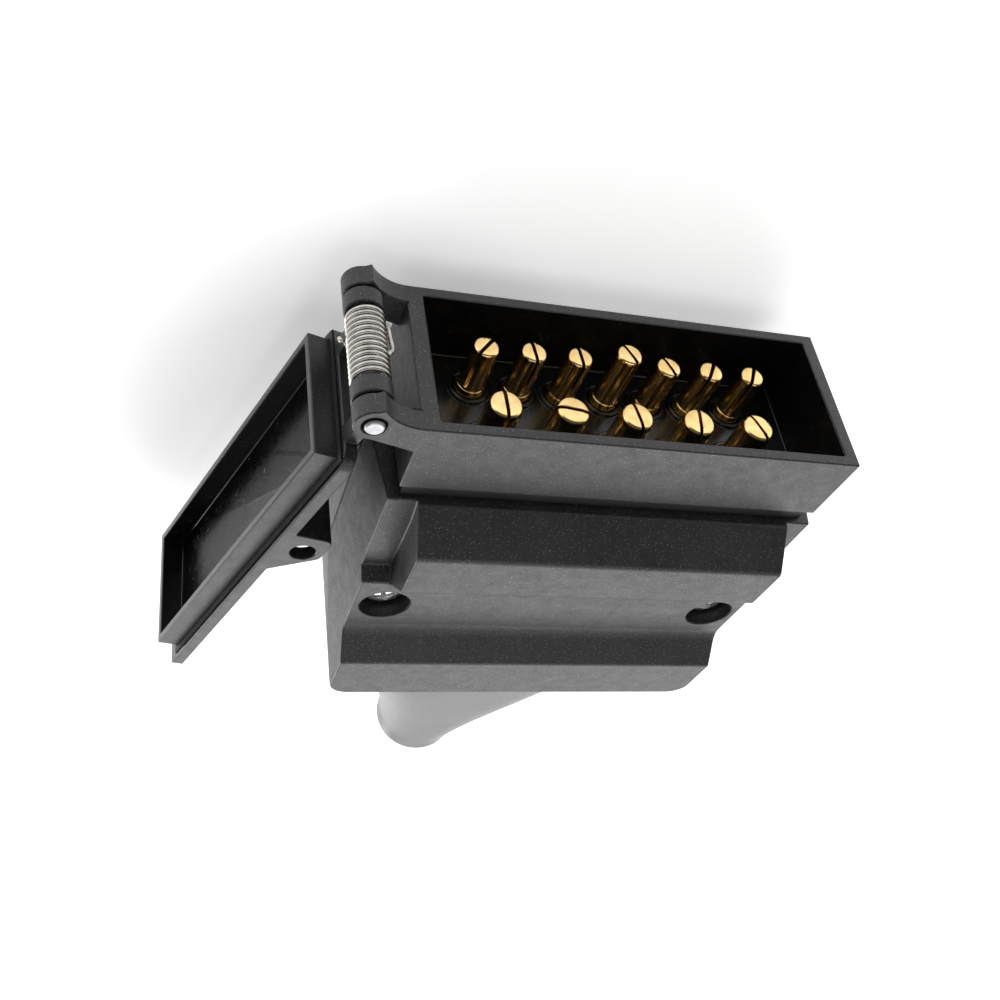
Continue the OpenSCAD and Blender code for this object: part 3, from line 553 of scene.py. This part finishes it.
def studio_floor():
    """A round pale floor that curves up at its far edge."""
    work = bmesh.new()
    profile = [Vector((0, 0, FLOOR_Z)), Vector((FLOOR_RADIUS, 0, FLOOR_Z))]
    for k in range(1, 9):
        a = math.radians(10 * k)
        profile.append(
            Vector((FLOOR_RADIUS + COVE_RADIUS * math.sin(a), 0, FLOOR_Z + COVE_RADIUS * (1 - math.cos(a))))
        )
    points = [work.verts.new(p) for p in profile]
    edges = [work.edges.new(pair) for pair in zip(points, points[1:])]
    bmesh.ops.spin(
        work, geom=points + edges, cent=(0, 0, 0), axis=(0, 0, 1), angle=2 * math.pi, steps=64, use_merge=True
    )
    bmesh.ops.remove_doubles(work, verts=work.verts, dist=1e-5)
    bmesh.ops.recalc_face_normals(work, faces=work.faces)
    mesh = bpy.data.meshes.new("floor")
    work.to_mesh(mesh)
    work.free()
    mesh.shade_smooth()
    floor = bpy.data.objects.new("floor", mesh)
    collection.objects.link(floor)
    material, tree, shader = new_material("floor_paper")
    cloud = noise(tree, object_point(tree), 60.0, 2.0)
    paper = mix_colour(tree, cloud, (0.90, 0.90, 0.90), (0.93, 0.93, 0.93))
    tree.links.new(paper, shader.inputs["Base Color"])
    shader.inputs["Roughness"].default_value = 0.9
    shader.inputs["Emission Color"].default_value = (1, 1, 1, 1)
    place_on_floor = add(tree, "ShaderNodeVectorMath", operation="DISTANCE")
    tree.links.new(object_point(tree), place_on_floor.inputs[0])
    place_on_floor.inputs[1].default_value = (*SHADE_MIDDLE, FLOOR_Z)
    # the floor glows, and less within a disc round the plug: a painted shadow
    glow = ramp(tree, place_on_floor.outputs["Value"], SHADE_RADIUS, SHADE_RADIUS * 2, SHADE_GLOW, FLOOR_GLOW)
    tree.links.new(glow, shader.inputs["Emission Strength"])
    mesh.materials.append(material)


def softbox(name, place_at, aim, width, height, power):
    light = bpy.data.lights.new(name, "AREA")
    light.shape = "RECTANGLE"
    light.size = width
    light.size_y = height
    light.energy = power
    lamp = bpy.data.objects.new(name, light)
    collection.objects.link(lamp)
    lamp.location = place_at
    lamp.rotation_mode = "QUATERNION"
    lamp.rotation_quaternion = (Vector(aim) - Vector(place_at)).to_track_quat("-Z", "Y")
    lamp.visible_camera = False


studio_floor()
middle = (cad_low + cad_high) / 2
softbox("overhead", (0.0, 0.3, 1.9), middle, 3.2, 3.2, 34)
softbox("behind", (-0.35, 1.4, 0.9), middle, 2.2, 0.9, 17)
softbox("hinge_side", (0.9, 1.2, 0.25), middle, 0.8, 0.5, 9)

world = bpy.data.worlds.new("studio")
world.use_nodes = True
background = world.node_tree.nodes["Background"]
background.inputs["Color"].default_value = (1, 1, 1, 1)
background.inputs["Strength"].default_value = 0.12
bpy.context.scene.world = world

CAMERA_AT = Vector((0.0766, -0.1149, 0.1039))
CAMERA_FORWARD = Vector((-0.332, 0.777, -0.535)).normalized()
CAMERA_UP = Vector((0.0587, -0.549, -0.8338))
FOCAL_MM = 38.64
SHIFT = (0.0025, -0.002)

camera_data = bpy.data.cameras.new("camera")
camera_data.lens = FOCAL_MM
camera_data.shift_x, camera_data.shift_y = SHIFT
camera_data.clip_start = 0.005
camera = bpy.data.objects.new("camera", camera_data)
collection.objects.link(camera)
across = CAMERA_FORWARD.cross(CAMERA_UP).normalized()
upward = across.cross(CAMERA_FORWARD)
turned = Matrix((across, upward, -CAMERA_FORWARD)).transposed().to_4x4()
camera.matrix_world = Matrix.Translation(CAMERA_AT) @ turned
bpy.context.scene.camera = camera
bpy.context.scene.view_settings.view_transform = "Standard"
